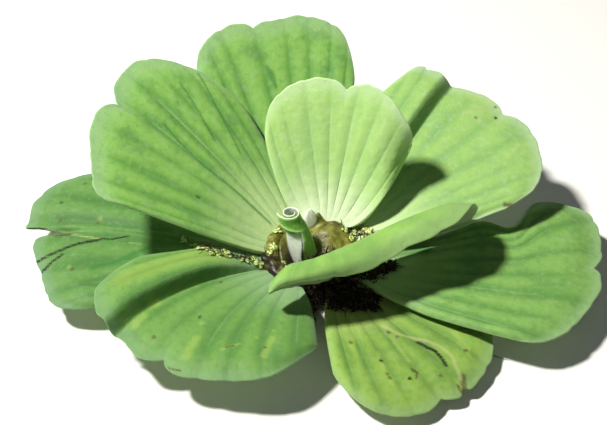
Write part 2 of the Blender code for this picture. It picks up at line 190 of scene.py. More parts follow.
# %% The leaves' own values: angles are in degrees, and lengths in metres where nothing else is said
#   azimuth: the way it points; height: of its foot; length, width: along and across the flat blade
#   rise: slope of the midrib at its foot, on the way and at its tip; roll: of the blade about the midrib
#   cup: how far each half turns up, at the foot and at the tip; widest: how far out the blade is widest
#   notch: depth, width and place; fold: height of a step in the blade, place and softness
#   rib: how deep the grooves are, in mm; droop: how far the margin turns down, in mm
#   sweep: how far the midrib curves round to the left; waves: places where the rim stands higher or lower
#   lopsided: how much wider the left half is than the right, as a share
#   fullness: under 1 makes the right and left halves bulge soon after the foot
#   waists: places where one half is narrower, as -1 or 1 for its side, mm from the foot, spread and share
#   outline: places where the rim reaches further or less far, as v, width and mm
#   dents: places where the blade is raised or sunk, as u, v, size along u, size along v and mm
#   marks: kind, width in mm, and spots or strokes as rows of u and v, in hundredths; look: its colours
LEAVES = {
    "leaf_left": dict(
        azimuth=172, height=0.01, length=0.143, width=0.109, lopsided=0.07, ribs=9, rise=(13, 4, -6), roll=(-1, -3),
        cup=(12, 0), widest=0.66, notch=(0.032, 0.02, 0.01), rib=0.45, droop=3.0, look="dull", seed=3,
        outline=((-0.7, 0.3, 8), (-0.45, 0.15, 4), (-0.22, 0.22, 8), (-0.07, 0.04, 4), (0.35, 0.25, -7),
                 (1.0, 0.25, 16)),
        fold=(0.002, -0.01, 0.03), waves=((-0.08, 0.06, -6),),
        marks=(
            ("dark", 1.4, (88, -23), (88, -49), (82, -52)), ("brown", 1.4, (86, -10), (71, -10), (87, 37)),
            ("yellow", 2.0, (71, -13)), ("dark", 1.0, (100, -5, 100, -1)), ("brown", 1.3, (100, -1, 92, 6, 85, 6)),
            ("pale", 0.8, (85, 6, 79, 7, 73, 9)), ("dark", 0.8, (73, 9, 68, 9, 64, 4)),
            # the two dark strokes in from the left rim are painted shade in creases, and so is the dark green one below
            ("dark", 1.3, (100, 25, 96, 22, 89, 19, 81, 14, 73, 10)), ("dark", 1.2, (100, 33, 94, 27, 89, 23)),
            ("painted_shade", 2.0, (79, 38, 67, 32, 53, 16)), ("yellow", 1.8, (88, 34)), ("yellow", 0.8, (61, 12, 56, 13)),
        ),
    ),
    "leaf_front_right": dict(
        azimuth=306, height=0.01, length=0.098, width=0.09, ribs=9, rise=(4, 0, -6), cup=(15, 4), widest=0.62,
        notch=(0.004, 0.04, -0.1), rib=0.7, droop=2.0, look="old", seed=5,
        outline=((-0.12, 0.16, -3), (0.06, 0.025, -2.5), (0.2, 0.2, -2), (0.55, 0.3, -4.5)),
        marks=(
            # the two broad dark strokes across the foot are painted shade under the front leaf
            ("dark", 5.0, (0, -80, 0, 60)), ("dark", 4.0, (10, -50, 12, 20)),
            ("dark", 1.2, (60, 10, 66, 12, 71, 14, 76, 13, 82, 10)),
            ("pale", 1.2, (40, -7, 50, 2, 57, 11, 64, 18, 72, 21, 80, 20, 87, 14, 93, 10)),
            ("yellow", 1.6, (29, -52, 41, -56, 51, -62, 60, -62), (56, -36, 66, -39, 80, -39),
                            (74, 42, 80, 38, 86, 35)),
            ("yellow", 1.4, (50, -8, 62, -11, 70, -12)),
            ("brown", 1.4, (46, -7), (51, -3), (48, -63), (72, -38), (75, -38), (85, 32), (85, 0)),
            ("yellow", 1.2, (52, -62)), ("dark", 1.4, (62, -37), (79, -22)), ("brown", 1.1, (75, -15, 79, -13)),
            ("brown", 0.8, (79, -13, 81, -17)), ("yellow", 1.0, (66, -4), (88, -48), (79, 35, 90, 29)),
            ("brown", 1.7, (92, 13, 100, 7)), ("yellow", 2.2, (94, 7, 98, 5)), ("brown", 1.0, (96, 5, 99, 4)),
        ),
    ),
    "leaf_back": dict(
        azimuth=103, height=0.01, length=0.145, width=0.094, ribs=9, rise=(28, 33, 36), cup=(20, 4), widest=0.74,
        notch=(0.006, 0.1, 0.1), rib=1.0, droop=1.0, look="grown", seed=7,
        outline=((-0.7, 0.2, 4), (-0.05, 0.15, -3.5)),
        marks=(
            # the three dark green strokes are the painted shadow of the left back leaf
            ("painted_shade", 1.7, (80, 7, 76, 5)), ("painted_shade", 2.4, (77, 5, 74, 4)), ("painted_shade", 1.5, (74, 4, 70, 3)),
            ("yellow", 1.4, (94, -38), (96, -48)),
        ),
    ),
    "leaf_front_left": dict(
        azimuth=229, height=0.0158, length=0.106, width=0.112, ribs=10, rise=(14, 5, -5), cup=(15, 6), widest=0.56,
        lopsided=0.12, notch=(0.008, 0.04, 0.03), sweep=36, fullness=(1.1, 0.5), fold=(0.0095, -0.35, 0.09),
        rib=0.75, droop=3.0, look="low", seed=11,
        outline=((-0.92, 0.26, 14), (-0.24, 0.14, -7), (-0.05, 0.1, -3), (0.3, 0.2, -1.5), (0.95, 0.17, -15)),
        dents=((0.75, -1.05, 0.45, 0.22, -2),),
        marks=(
            # the dark stroke across the foot is painted shade under the front leaf
            ("dark", 3.0, (2, -60, 2, 50)), ("yellow", 7.0, (35, -62, 85, -62)),
            ("yellow", 2.4, (77, -32, 74, -30), (66, 65, 84, 60)), ("yellow", 3.0, (85, -27, 91, -26)),
            ("brown", 1.4, (88, -9), (75, 60), (39, -21)), ("yellow", 2.0, (66, 10)),
            ("yellow", 2.8, (76, 14, 89, 14)), ("dark", 1.4, (65, 5)), ("yellow", 1.2, (80, 31, 73, 41)),
            ("brown", 0.8, (78, 33, 75, 38), (99, 8, 97, 14)), ("yellow", 1.0, (66, 52)), ("yellow", 1.4, (58, 65)),
        ),
    ),
    "leaf_right": dict(
        azimuth=359, height=0.0142, length=0.134, width=0.113, ribs=9, rise=(5, 4, 1), cup=(15, 4), widest=0.7,
        lopsided=-0.05, notch=(0.006, 0.05, -0.05), sweep=16, fullness=(0.7, 1.5), waists=((1, 88, 13, 0.38),),
        rib=0.9, droop=3.0, look="broad", seed=13,
        outline=((0.45, 0.3, 14), (0.95, 0.15, 7), (-0.5, 0.3, -13), (-0.76, 0.14, -5)),
        marks=(
            # all three strokes are painted shade at the foot, under the front leaf
            ("dark", 5.0, (0, -60, 0, 20)), ("dark", 4.0, (4, -50, 8, -30)), ("painted_shade", 6.0, (10, 50, 27, 50)),
        ),
    ),
    "leaf_left_back": dict(
        azimuth=151, height=0.018, length=0.13, width=0.115, ribs=10, rise=(38, 28, 22), roll=(-2, -4),
        fullness=(0.68, 0.68), cup=(20, 5), widest=0.66, lopsided=0.07, notch=(0.01, 0.05, 0.03),
        fold=(0.0022, 0.03, 0.03), rib=0.9, droop=1.5, look="grown", seed=17,
        outline=((-0.38, 0.27, 10), (0.5, 0.26, -10), (1.0, 0.15, 12)),
        marks=(
            ("dark", 1.4, (47, 39)),
            # the dark green strokes are painted shade in creases
            ("painted_shade", 0.8, (73, -7, 63, -3, 54, -1, 45, -1), (96, -68, 81, -64, 65, -59, 43, -51),
                          (84, -47, 66, -42, 51, -34)),
            ("painted_shade", 0.9, (54, -1, 45, -1, 36, -3, 22, -5, 10, -5)),
        ),
    ),
    "leaf_front": dict(
        azimuth=291, height=0.0215, length=0.048, width=0.13, ribs=9, rise=(88, 88, -40), roll=(9, 12), cup=(0, -8),
        widest=0.44, lopsided=0.3, notch=(0.004, 0.1, 0.2), rib=0.15, droop=3.0, look="velvet", seed=19,
        waves=((0.1, 0.2, -4), (-0.5, 0.3, 2)), outline=((0.72, 0.18, -6), (-0.5, 0.36, 9.5), (-0.85, 0.2, 7)),
        dents=((0.55, -0.7, 0.35, 0.25, 3.5),),
    ),
    "leaf_right_back": dict(
        azimuth=38, height=0.0186, length=0.127, width=0.112, ribs=10, rise=(22, 17, 12), cup=(2, 2), roll=(2, 5),
        widest=0.62, lopsided=0.06, notch=(0.006, 0.1, 0.0), fold=(0.009, 0.4, 0.07), rib=0.6, droop=2.0,
        look="bright", seed=23,
        outline=((0.83, 0.2, 17), (0.64, 0.03, 1.5), (0.43, 0.03, -1.5), (0.35, 0.12, -3), (-0.93, 0.14, 13),
                 (-0.4, 0.2, -2)),
        dents=((0.65, -1.0, 0.16, 0.12, -2),),
        marks=(
            ("brown", 1.6, (90, -94, 100, -98)), ("brown", 1.4, (98, 7), (86, 9)), ("yellow", 1.4, (85, 5)),
            ("yellow", 0.9, (78, -22, 74, -19)), ("pale", 0.9, (84, 18, 88, 14, 94, 7)),
            ("yellow", 3.0, (96, 25, 97, 12)), ("dark", 1.4, (95, 1)), ("pale", 1.4, (90, -28)),
        ),
    ),
    "leaf_upright": dict(
        azimuth=77, height=0.0225, length=0.083, width=0.082, ribs=9, rise=(62, 65, 66), fullness=(0.48, 0.45),
        cup=(30, 10), widest=0.62, notch=(0.007, 0.06, -0.03), rib=0.8, droop=0.6, look="young", seed=29,
        outline=((-0.6, 0.2, -4), (-1.0, 0.15, 6), (1.0, 0.15, 2)), dents=((0.85, -0.95, 0.3, 0.32, -10),),
    ),
}
print("leaves:", len(LEAVES))

# %% Curves and directions along a leaf
def smooth(x):
    x = np.clip(x, 0, 1)
    return x * x * (3 - 2 * x)


def along(values, x):
    """A smooth change from the first value to the last, pulled towards the one between."""
    first, middle, last = values
    return first * (1 - x) ** 2 + 2 * middle * x * (1 - x) + last * x**2


def unit(vectors):
    return vectors / np.linalg.norm(vectors, axis=-1, keepdims=True)


def midrib(leaf):
    """Distances along the midrib, its places there, and the directions across and out of the blade."""
    distance = np.linspace(0, MIDRIB_REACH * leaf["length"], MIDRIB_STEPS + 1)
    x = distance / leaf["length"]
    slope = np.radians(along(leaf["rise"], x))[:, None]
    azimuth = np.radians(leaf["azimuth"] + leaf.get("sweep", 0) * (x - 0.5))
    level = 0 * x
    outwards = np.stack([np.cos(azimuth), np.sin(azimuth), level], axis=-1)
    across = np.stack([-np.sin(azimuth), np.cos(azimuth), level], axis=-1)
    forward = np.cos(slope) * outwards + np.sin(slope) * [0, 0, 1]
    up = np.cross(forward, across)
    first, last = leaf.get("roll", (0, 0))
    roll = np.radians(first + (last - first) * x)[:, None]
    across, up = across * np.cos(roll) + up * np.sin(roll), up * np.cos(roll) - across * np.sin(roll)
    steps = (forward[1:] + forward[:-1]) / 2 * distance[1]
    foot = FOOT_RADIUS * outwards[0] + [0, 0, leaf["height"]]
    places = foot + np.concatenate([np.zeros((1, 3)), np.cumsum(steps, axis=0)])
    return distance, places, across, up


# %% Grooves: where they are, how deep, and how near each point of the blade is to one
def groove_places(leaf):
    """Groove places across the blade and their depths, a little uneven as in nature."""
    rng = np.random.default_rng(leaf["seed"])
    places = np.linspace(-1, 1, leaf["ribs"] + 1)
    places[1:-1] += rng.uniform(-0.14, 0.14, leaf["ribs"] - 1) * 2 / leaf["ribs"]
    return places, rng.uniform(0.55, 1.1, leaf["ribs"] + 1)


def groove_nearness(leaf, u, v):
    """1 in a groove, falling off as a cusp to each side, so that the tissue between swells."""
    places, depths = groove_places(leaf)
    reach = GROOVE_REACH * 2 / leaf["ribs"]
    near = np.zeros_like(v)
    for place, depth in zip(places[1:-1], depths[1:-1]):
        near = np.maximum(near, depth * np.exp(-np.abs(v - place) / reach))
    return near * smooth(4 * u) * (1 - GROOVE_FADE * smooth((u - 0.72) / 0.28))


def bump_at(along_u, along_v, u, v, size_u, size_v):
    return np.exp(-(((along_u - u) / size_u) ** 2) - ((along_v - v) / size_v) ** 2)


# %% The blade's flat outline and its shape in space
def flat_blade(leaf, u, v):
    """Along and across the flat blade, at u of the way from foot to rim and v from its right side to its left."""
    depth, width, place = leaf["notch"]
    turn = LEAF_SPREAD * v
    tip = np.sign(np.cos(turn)) * np.abs(np.cos(turn)) ** BLUNTNESS
    rim = leaf["length"] * (leaf["widest"] + (1 - leaf["widest"]) * tip)
    rim = rim - depth * np.exp(-np.abs(v - place) / width)
    for at, spread, reach in leaf.get("outline", ()):
        rim = rim + reach * MM * np.exp(-(((v - at) / spread) ** 2))
    places, _ = groove_places(leaf)
    between = np.interp(v, places, np.arange(len(places))) % 1
    rim = rim + SCALLOP * (4 * between * (1 - between)) ** 0.6 * u**6
    rim = rim + RAGGED * np.sin(31 * v + leaf["seed"]) * np.sin(19 * v + 2 * leaf["seed"]) * u**6
    side = leaf["width"] / 2 * np.sin(turn) * (1 + leaf.get("lopsided", 0) * np.sign(v))
    foot = FOOT_WIDTH / 2 * v
    right, left = leaf.get("fullness", FULLNESS)
    fullness = VEIN_ARC + (np.where(v > 0, left, right) - VEIN_ARC) * np.abs(v) ** 1.5
    s, t = rim * u, foot + (side - foot) * u**fullness
    for sign, at, spread, share in leaf.get("waists", ()):
        t = t * (1 - (t * sign > 0) * share * np.exp(-(((s / MM - at) / spread) ** 2)))
    return s, t


def blade(leaf, u, v):
    """The middle surface of a leaf, as a grid of points."""
    s, t = flat_blade(leaf, u, v)
    at_foot, at_tip = leaf["cup"]
    bend = np.radians(at_foot + (at_tip - at_foot) * u) / (leaf["width"] / 2)
    sideways = t * np.sinc(bend * t / pi)
    lift = bend * t**2 / 2 * np.sinc(bend * t / (2 * pi)) ** 2
    if "fold" in leaf:
        height, place, softness = leaf["fold"]
        lift = lift + height * smooth(np.sign(place) * (v - place) / softness + 0.5) * smooth(2 * u)
    lift = lift - leaf["rib"] * MM * groove_nearness(leaf, u, v)
    for at_u, at_v, size_u, size_v, height in leaf.get("dents", ()):
        lift = lift + height * MM * bump_at(u, v, at_u, at_v, size_u, size_v)
    margin = np.maximum(smooth((u - 0.80) / 0.20), smooth((np.abs(v) - 0.80) / 0.20) * smooth(2 * u)) ** 2
    lift = lift - leaf["droop"] * MM * margin
    distance, places, across, up = midrib(leaf)

    def read(values):
        return np.stack([np.interp(s, distance, values[:, k]) for k in range(3)], axis=-1)

    points = read(places) + sideways[..., None] * read(across) + lift[..., None] * read(up)
    for at, spread, height in leaf.get("waves", ()):
        points[..., 2] += height * MM * np.exp(-(((v - at) / spread) ** 2)) * u**2
    return points


# %% From the sheet to a closed skin
def leaf_grid(leaf):
    """u and v of every point: rows close up towards the rim, and every groove has its own column."""
    u = 1 - (1 - np.linspace(0, 1, LEAF_ROWS + 1)) ** 1.6
    places, _ = groove_places(leaf)
    v = [np.linspace(a, b, COLUMNS_PER_RIB, endpoint=False) for a, b in zip(places, places[1:])]
    v = np.concatenate([*v, [1.0], [-0.997, -0.990, 0.990, 0.997]])
    return np.meshgrid(u, np.unique(v), indexing="ij")


def margin_distance(leaf, u, v):
    """How far each point is from the edge of the blade, in metres."""
    to_rim = (1 - u) * leaf["length"] * 0.9
    to_side = (1 - np.abs(v)) * leaf["width"] * np.maximum(u, 0.15)
    return np.minimum(to_rim, to_side)


def closed_sheet(name, upper, lower):
    """One closed skin: the upper and lower grids share their points round the rim and meet in a wall at the foot."""
    rows, columns = upper.shape[:2]
    shared = np.zeros((rows, columns), bool)
    shared[-1] = shared[:, 0] = shared[:, -1] = True
    top = np.arange(rows * columns).reshape(rows, columns)
    under = top.copy()
    under[~shared] = rows * columns + np.arange((~shared).sum())
    verts = np.concatenate([upper.reshape(-1, 3), lower[~shared]])

    def quads(grid, flip):
        corners = [grid[:-1, :-1], grid[1:, :-1], grid[1:, 1:], grid[:-1, 1:]]
        return np.stack(corners[::-1] if flip else corners, axis=-1).reshape(-1, 4)

    wall = np.stack([top[0, :-1], top[0, 1:], under[0, 1:], under[0, :-1]], axis=-1)
    faces = np.concatenate([quads(top, False), quads(under, True)]).tolist()
    faces += [list(dict.fromkeys(face)) for face in wall.tolist()]
    mesh = bpy.data.meshes.new(name)
    mesh.from_pydata(verts.tolist(), [], faces)
    mesh.update()
    mesh.validate()
    mesh.shade_smooth()
    return mesh, shared


# %% Marks on a leaf: each kind is a colour, not a shape; the two darkest kinds also paint shade and shadow
# nearly black: dark spots and painted shade; the dark green one: painted shade and cast shadow
MARK_TINTS = {  # colour, and how strong it gets
    "yellow": ("#A4BE58", 0.34), "brown": ("#4C3412", 0.80), "dark": ("#0E1406", 1.0), "painted_shade": ("#35742E", 0.75),
    "pale": ("#B2B47C", 0.55),
}


def marks_of(leaf, u, v):
    """How strong each kind of mark is at every point of the blade."""
    painted = {kind: np.zeros_like(u) for kind in MARK_TINTS}
    place = np.stack(flat_blade(leaf, u, v), axis=-1) / MM
    for kind, width, *strokes in leaf.get("marks", ()):
        for stroke in strokes:
            ends = np.reshape(stroke, (-1, 2)) / 100
            ends = np.stack(flat_blade(leaf, ends[:, 0], ends[:, 1]), axis=-1) / MM
            for start, end in zip(ends, [*ends[1:], ends[-1]]):
                span = end - start
                share = np.clip((place - start) @ span / max(span @ span, 1e-9), 0, 1)
                away = np.linalg.norm(place - start - share[..., None] * span, axis=-1)
                painted[kind] = np.maximum(painted[kind], np.exp(-((away / width) ** 2)))
    return painted


# %% A sheet with values at its points
def store_values(obj, **layers):
    for name, values in layers.items():
        layer = obj.data.attributes.new(name, "FLOAT", "POINT")
        layer.data.foreach_set("value", np.broadcast_to(values, len(obj.data.vertices)).astype(np.float32))


def sheet_piece(name, u, v, middle, margin, thickness, values, below=0.0):
    """A closed sheet round its middle surface, with values at its points, given for its upper and lower side."""
    normal = unit(np.cross(np.gradient(middle, axis=0), np.gradient(middle, axis=1)))
    rounding = np.sqrt(1 - (1 - np.clip(margin / MARGIN_ROUNDING, 0, 1)) ** 2)
    upper = middle + (rounding * thickness / 2)[..., None] * normal
    lower = middle - (rounding * (thickness / 2 + below))[..., None] * normal
    mesh, shared = closed_sheet(name, upper, lower)

    def both(on_top, under):
        return np.concatenate([np.broadcast_to(on_top, u.shape).ravel(), np.broadcast_to(under, u.shape)[~shared]])

    obj = new_object(name, mesh)
    store_values(obj, margin_mm=both(margin / MM, margin / MM), **{key: both(*pair) for key, pair in values.items()})
    way = np.stack([both(v / 2 + 0.5, v / 2 + 0.5), both(u, u)], axis=-1)
    corners = np.empty(len(mesh.loops), np.int32)
    mesh.loops.foreach_get("vertex_index", corners)
    mesh.uv_layers.new(name="UVMap").uv.foreach_set("vector", way[corners].astype(np.float32).ravel())
    return obj


def leaf_piece(name, leaf):
    u, v = leaf_grid(leaf)
    near = groove_nearness(leaf, u, v)
    thickness = RIM_THICKNESS + (FOOT_THICKNESS - RIM_THICKNESS) * (1 - u) ** 2
    values = {"groove": (near, near), "under": (0.0, 1.0)}
    values |= {kind: (strength, 0.0) for kind, strength in marks_of(leaf, u, v).items()}
    margin = margin_distance(leaf, u, v)
    return sheet_piece(name, u, v, blade(leaf, u, v), margin, thickness, values, below=VEIN_RELIEF * near * (1 - u))


# %% [markdown]
# ## The finish of a living leaf
# The blade is a soft, air-filled tissue under a velvet of hairs too short to see. The eye reads it as a matt
# green, greyer along the margin where the hairs catch the light at a slant, and it glows a little where light
# comes through.
# Each blade could be painted by hand. They differ only in tones and in marks, so one shader serves them all: a
# rough green with a little sheen and light under the skin, whose colour is built up in layers. First come soft
# patches, painted light on the swollen tissue and painted shade along the grooves, a line in each groove and
# mottling, then a paler foot with streaks along its veins, and a pale band at the margin that is painted sheen.
# Last come the spots and scars, which are only colour, and a few marks of painted shade and cast shadow.

# %% Leaf finishes
LOOKS = {
    # foot, blade, swollen tissue between grooves, the hollow along a groove, its line, pale bloom and painted sheen
    "grown": ("#C0D69A", "#6CA03F", "#83B256", "#548743", "#9ABF7C", "#94B290"),
    "low": ("#86A67A", "#5C8A39", "#6A9547", "#4A783D", "#7C9E66", "#769872"),
    "dull": ("#A8BF8C", "#4E7A34", "#5F8A44", "#42703A", "#789A62", "#7E9C80"),
    "broad": ("#B4CC95", "#6A9946", "#7FAA58", "#558644", "#8CAE72", "#98B68C"),
    "bright": ("#CADEAB", "#83AE56", "#94BA68", "#7DA76A", "#B6D09A", "#B0C8AA"),
    "young": ("#E2F0CF", "#A9D176", "#B5DB87", "#A6D084", "#CDE6AE", "#CCE2C0"),
    "velvet": ("#C0D69C", "#7CA84A", "#86B156", "#6F9A50", "#86B05A", "#98B680"),
    "old": ("#C6CF7E", "#759A3C", "#87AA4C", "#5E8640", "#4C6F26", "#8CA87C"),
    "furled": ("#A9C97C", "#6FA63A", "#7DB247", "#5F9A3A", "#4C8A2A", "#E2EFC6"),
}
MARGIN_BAND_MM = {"grown": 14.0, "furled": 2.0}  # how far in from the margin the pale band reaches, where that isn't 9 mm
# on the young leaf the white is partly its white hairs and partly painted light, where the roll shades it
UNDERSIDE = {"furled": "#FFFFFF"}  # where it isn't the pale green of the others
LEAF_SKIN = {
    "Roughness": 0.60, "IOR": 1.42, "Specular IOR Level": 0.30, "Sheen Weight": 0.20, "Sheen Roughness": 0.45,
    "Sheen Tint": linear("#DCEBDD"), "Subsurface Weight": 0.25, "Subsurface Radius": (0.0010, 0.0016, 0.0004),
    "Subsurface Scale": 1.0,
}


def leaf_finish(look):
    foot, green, swollen, hollow, line, bloom_and_sheen = [linear(c) for c in LOOKS[look]]
    made, tree, shader = new_material(f"{look} water lettuce leaf, velvety and matt", LEAF_SKIN)
    place = add(tree, "TexCoord")["Object"]
    way = add(tree, "UVMap", uv_map="UVMap")["UV"]
    outwards = add(tree, "SeparateXYZ", {"Vector": way})["Y"]
    read = {
        name: add(tree, "Attribute", attribute_name=name)["Fac"]
        for name in ("groove", "margin_mm", "under", *MARK_TINTS)
    }
    # noise of about 15, 3.5, 1 and 1 mm for the colours, and of 4 and 0.5 mm for the surface
    patches, mottle, speckle, fray, puckers, grain = [
        add(tree, "TexNoise", {"Vector": place, "Scale": scale, "Detail": detail})["Fac"]
        for scale, detail in ((65.0, 3.0), (280.0, 5.0), (900.0, 2.0), (1100.0, 3.0), (240.0, 3.0), (1800.0, 2.0))
    ]
    along_veins = add(tree, "Mapping", {"Vector": way, "Scale": (70, 3, 1)})["Vector"]
    streaks = add(tree, "TexNoise", {"Vector": along_veins, "Scale": 1.0, "Detail": 3.0})["Fac"]
    near_foot, beyond_foot = [
        add(tree, "MapRange", {"Value": outwards, "From Min": low, "From Max": high})["Result"]
        for low, high in ((0.55, 0.1), (0.3, 0.7))
    ]
    layers = [  # tint, the value that says where, from where to where it sets in, its weight, and where it stays
        # lighter on the swollen tissue between grooves: painted light on the ribs' relief
        (swollen, read["groove"], 0.6, 0.1, 0.85),
        (swollen, patches, 0.5, 0.70, 0.8),  # patches of a yellower green, and in the next row of a bluer one
        (hollow, patches, 0.5, 0.28, 0.6),
        # darker and bluer along the grooves: painted shade in them
        (hollow, read["groove"], 0.15, 0.75, 0.55),
        (line, read["groove"], 0.78, 1.05, 0.45),  # in the deepest grooves
        (hollow, mottle, 0.50, 0.72, 0.38),
        (bloom_and_sheen, mottle, 0.48, 0.28, 0.25),
        (bloom_and_sheen, speckle, 0.58, 0.74, 0.25),
        (foot, outwards, 0.50, 0.02, 0.95),
        (line, streaks, 0.50, 0.75, 0.30, near_foot),
        (bloom_and_sheen, streaks, 0.48, 0.25, 0.60, near_foot),
        # a pale band towards the margin: painted sheen, the grey that the hairs give where a blade is seen at a slant
        (bloom_and_sheen, read["margin_mm"], MARGIN_BAND_MM.get(look, 9.0), 0.0, 0.48, beyond_foot),
        (linear(UNDERSIDE.get(look, "#B9CFA0")), read["under"], 0.0, 1.0, 0.7),  # paler and greyer
    ]
    for kind, (tint, most) in MARK_TINTS.items():  # fine noise frays their edges
        frayed = add(tree, "Math", {0: read[kind], 1: fray}, operation="ADD")["Value"]
        layers.append((linear(tint), frayed, 0.65, 1.50, most))
    colour = green
    for tint, value, low, high, weight, *places in layers:
        inputs = {"Value": value, "From Min": low, "From Max": high, "To Max": weight}
        strength = add(tree, "MapRange", inputs, interpolation_type="SMOOTHSTEP")["Result"]
        for near in places:
            strength = add(tree, "Math", {0: strength, 1: near}, operation="MULTIPLY")["Value"]
        colour = add(tree, "Mix", {0: strength, 6: colour, 7: tint}, data_type="RGBA")[2]
    # the hairs stand too close to be told apart: they are drawn as a grain of half a millimetre
    puckered = add(tree, "Bump", {"Height": puckers, "Strength": 0.35, "Distance": 0.0012})["Normal"]
    velvety = {"Height": grain, "Normal": puckered, "Strength": 0.25, "Distance": 0.0003}
    put(tree, shader, {"Base Color": colour, "Normal": add(tree, "Bump", velvety)["Normal"]})
    return made


leaf_finishes = {look: leaf_finish(look) for look in LOOKS}
print("leaf finishes:", ", ".join(leaf_finishes))

# %% Make the leaves
def take_place(obj, slot, *nodes, finish=None):
    """The piece rides on the one body, takes the finish it is given, and stands for these nodes; slot is not used."""
    if finish:
        obj.data.materials.append(finish)
    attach(obj, "root")
    if nodes:
        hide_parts(*nodes)
    print(obj.name, len(obj.data.polygons), "faces")


for node_name, leaf in LEAVES.items():
    piece = leaf_piece(f"{node_name}_blade", leaf)
    slot = "leaf_pale" if node_name == "leaf_upright" else "leaf"
    take_place(piece, slot, node_name, finish=leaf_finishes[leaf["look"]])

# %% [markdown]
# ## One way to scatter small things
# Hairs, rootlets and duckweed fronds all sit on a surface, stand up from it and differ a little in size and
# lean. They could be placed one by one in a loop, or grown as a particle system. A Geometry Nodes tree is
# tidier: points are spread over the faces, a shape is put on each, and the result is made real and given its
# finish. An attribute on the carrier, "where", says where they grow, and another, "reach", how long they are.

# %% The scatter tree
TREE_INPUTS = {
    "Shape": "Object", "Finish": "Material", "Per square metre": "Float", "Smallest": "Float", "Largest": "Float",
    "Lean": "Float", "Seed": "Int",
}


def scatter_tree():
    tree = bpy.data.node_groups.new("scatter on faces", "GeometryNodeTree")
    for name, kind in {"Geometry": "Geometry", **TREE_INPUTS}.items():
        tree.interface.new_socket(name, in_out="INPUT", socket_type=f"NodeSocket{kind}")
    tree.interface.new_socket("Geometry", in_out="OUTPUT", socket_type="NodeSocketGeometry")
    given = add(tree, "NodeGroupInput")
    seed, lean = given["Seed"], given["Lean"]
    where, reach = [
        add(tree, "GeometryNodeInputNamedAttribute", {"Name": name}, data_type="FLOAT")["Attribute"]
        for name in ("where", "reach")
    ]
    density = add(tree, "Math", {0: given["Per square metre"], 1: where}, operation="MULTIPLY")["Value"]
    on_faces = {"Mesh": given["Geometry"], "Density": density, "Seed": seed}
    points = add(tree, "GeometryNodeDistributePointsOnFaces", on_faces)
    # each copy turns about its own height and leans at random
    back = add(tree, "Math", {0: lean, 1: -1.0}, operation="MULTIPLY")["Value"]
    least = add(tree, "CombineXYZ", {"X": back, "Y": back})["Vector"]
    most = add(tree, "CombineXYZ", {"X": lean, "Y": lean, "Z": 2 * pi})["Vector"]
    turn = add(tree, "FunctionNodeRandomValue", {0: least, 1: most, "Seed": seed}, data_type="FLOAT_VECTOR")[0]
    stand = {"Rotation": points["Rotation"], "Rotate By": turn}
    sizes = {2: given["Smallest"], 3: given["Largest"], "Seed": seed}
    size = add(tree, "FunctionNodeRandomValue", sizes, data_type="FLOAT")[1]
    copies = add(tree, "GeometryNodeInstanceOnPoints", {
        "Points": points["Points"],
        "Instance": add(tree, "GeometryNodeObjectInfo", {"Object": given["Shape"]})["Geometry"],
        "Rotation": add(tree, "FunctionNodeRotateRotation", stand, rotation_space="LOCAL")["Rotation"],
        "Scale": add(tree, "Math", {0: size, 1: reach}, operation="MULTIPLY")["Value"],
    })["Instances"]
    real = add(tree, "GeometryNodeRealizeInstances", {"Geometry": copies})["Geometry"]
    finished = add(tree, "GeometryNodeSetMaterial", {"Geometry": real, "Material": given["Finish"]})["Geometry"]
    add(tree, "NodeGroupOutput", {"Geometry": finished})
    return tree


scatter = scatter_tree()


def scattered(name, slot, carrier, shape, finish, density, sizes, lean, seed):
    """A shape scattered over its carrier as one plain mesh: so many on a square metre, between two sizes."""
    given = dict(zip(TREE_INPUTS, (shape, finish, density, *sizes, lean, seed)))
    grow = carrier.modifiers.new("scatter", "NODES")
    grow.node_group = scatter
    for item in scatter.interface.items_tree:
        if item.in_out == "INPUT" and item.name in given:
            grow[item.identifier] = given[item.name]
    graph = bpy.context.evaluated_depsgraph_get()
    mesh = bpy.data.meshes.new_from_object(carrier.evaluated_get(graph), depsgraph=graph)
    carrier.modifiers.remove(grow)
    take_place(new_object(name, mesh), slot)


# %% Closed skins through rings of points
def mesh_object(name, verts, faces):
    mesh = bpy.data.meshes.new(name)
    mesh.from_pydata(np.asarray(verts).tolist(), [], faces)
    mesh.validate()
    tidy = bmesh.new()
    tidy.from_mesh(mesh)
    bmesh.ops.recalc_face_normals(tidy, faces=tidy.faces)
    tidy.to_mesh(mesh)
    tidy.free()
    mesh.shade_smooth()
    return new_object(name, mesh)


def skin_of(rings, first, last):
    """Points and faces of a closed skin through rings of points, one after another, with a point at each end."""
    count, sides = rings.shape[:2]
    at = 1 + np.arange(count * sides).reshape(count, sides)
    after = np.roll(at, -1, axis=1)
    faces = np.stack([at[:-1], after[:-1], after[1:], at[1:]], axis=-1).reshape(-1, 4).tolist()
    faces += [[0, int(b), int(a)] for a, b in zip(at[0], after[0])]
    faces += [[count * sides + 1, int(a), int(b)] for a, b in zip(at[-1], after[-1])]
    return np.concatenate([[first], rings.reshape(-1, 3), [last]]), faces


def skin(name, rings, first, last):
    return mesh_object(name, *skin_of(rings, first, last))


def tube_rings(path, radius, sides, flat=1.0):
    """Rings round a path of points, in which the second direction of each ring is flattened."""
    path = np.asarray(path, float)
    way = unit(np.gradient(path, axis=0))
    aside = unit(np.cross(way, [0.0, 0.0, 1.0]) + 1e-9)
    above = np.cross(aside, way)
    turn = np.linspace(0, 2 * pi, sides, endpoint=False)
    ring = aside[:, None] * np.cos(turn)[None, :, None] + flat * above[:, None] * np.sin(turn)[None, :, None]
    return path[:, None] + np.asarray(radius, float)[:, None, None] * ring


